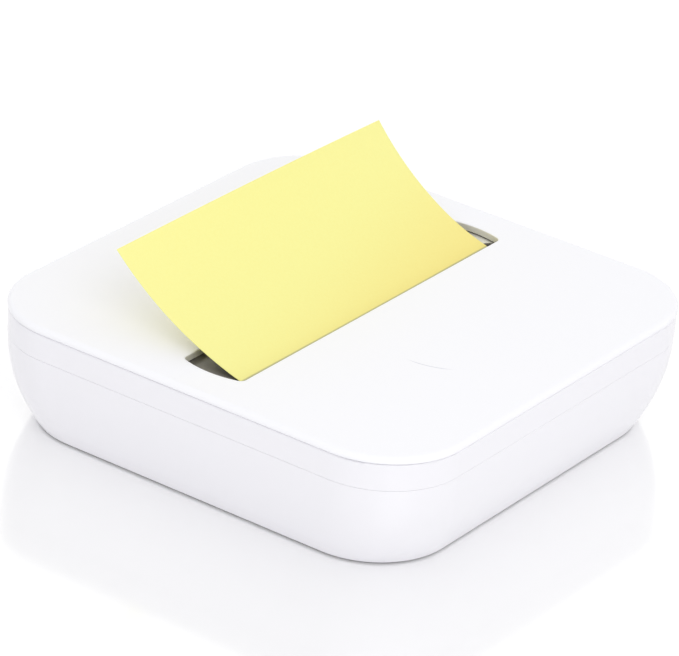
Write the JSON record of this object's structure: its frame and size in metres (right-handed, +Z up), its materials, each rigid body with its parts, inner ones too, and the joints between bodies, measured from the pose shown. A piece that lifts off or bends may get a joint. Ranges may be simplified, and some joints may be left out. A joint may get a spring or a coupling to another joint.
{
  "type": "sticky note dispenser",
  "caption": "Low square desk dispenser for pop-up notes: white steel top with a slot, curved plastic tray, steel weight inside and a yellow note standing in the slot.",
  "frame": {"origin": "middle of the footprint, on the desk under the feet", "axes": "+Z up, X along the slot, -Y towards the front, the side that the note leans away from"},
  "size_m": [0.0974, 0.0974, 0.0415],
  "materials": {
    "powder_coated_steel": "smooth white powder coat, satin gloss",
    "adhesive_sheet": "die-cut double-sided sheet",
    "white_moulding": "moulded, polished white ABS",
    "inner_moulding": "moulded white ABS, fine texture",
    "bare_steel": "bright rolled steel",
    "yellow_paper": "uncoated canary yellow note paper",
    "zinc_plated_steel": "bright zinc plate",
    "foot_rubber": "matt rubber, dark grey"
  },
  "bodies": {
    "root": {"top_plate": "powder_coated_steel", "plate_adhesive": "adhesive_sheet", "cover_frame": "white_moulding", "base_tray": "white_moulding", "ballast_plate": "bare_steel", "bottom_cover": "inner_moulding", "note_pad": "yellow_paper", "standing_note": "yellow_paper", "base_screw_1": "zinc_plated_steel", "base_screw_2": "zinc_plated_steel", "base_screw_3": "zinc_plated_steel", "base_screw_4": "zinc_plated_steel", "rubber_foot_1": "foot_rubber", "rubber_foot_2": "foot_rubber", "rubber_foot_3": "foot_rubber", "rubber_foot_4": "foot_rubber"}
  },
  "joints": []
}
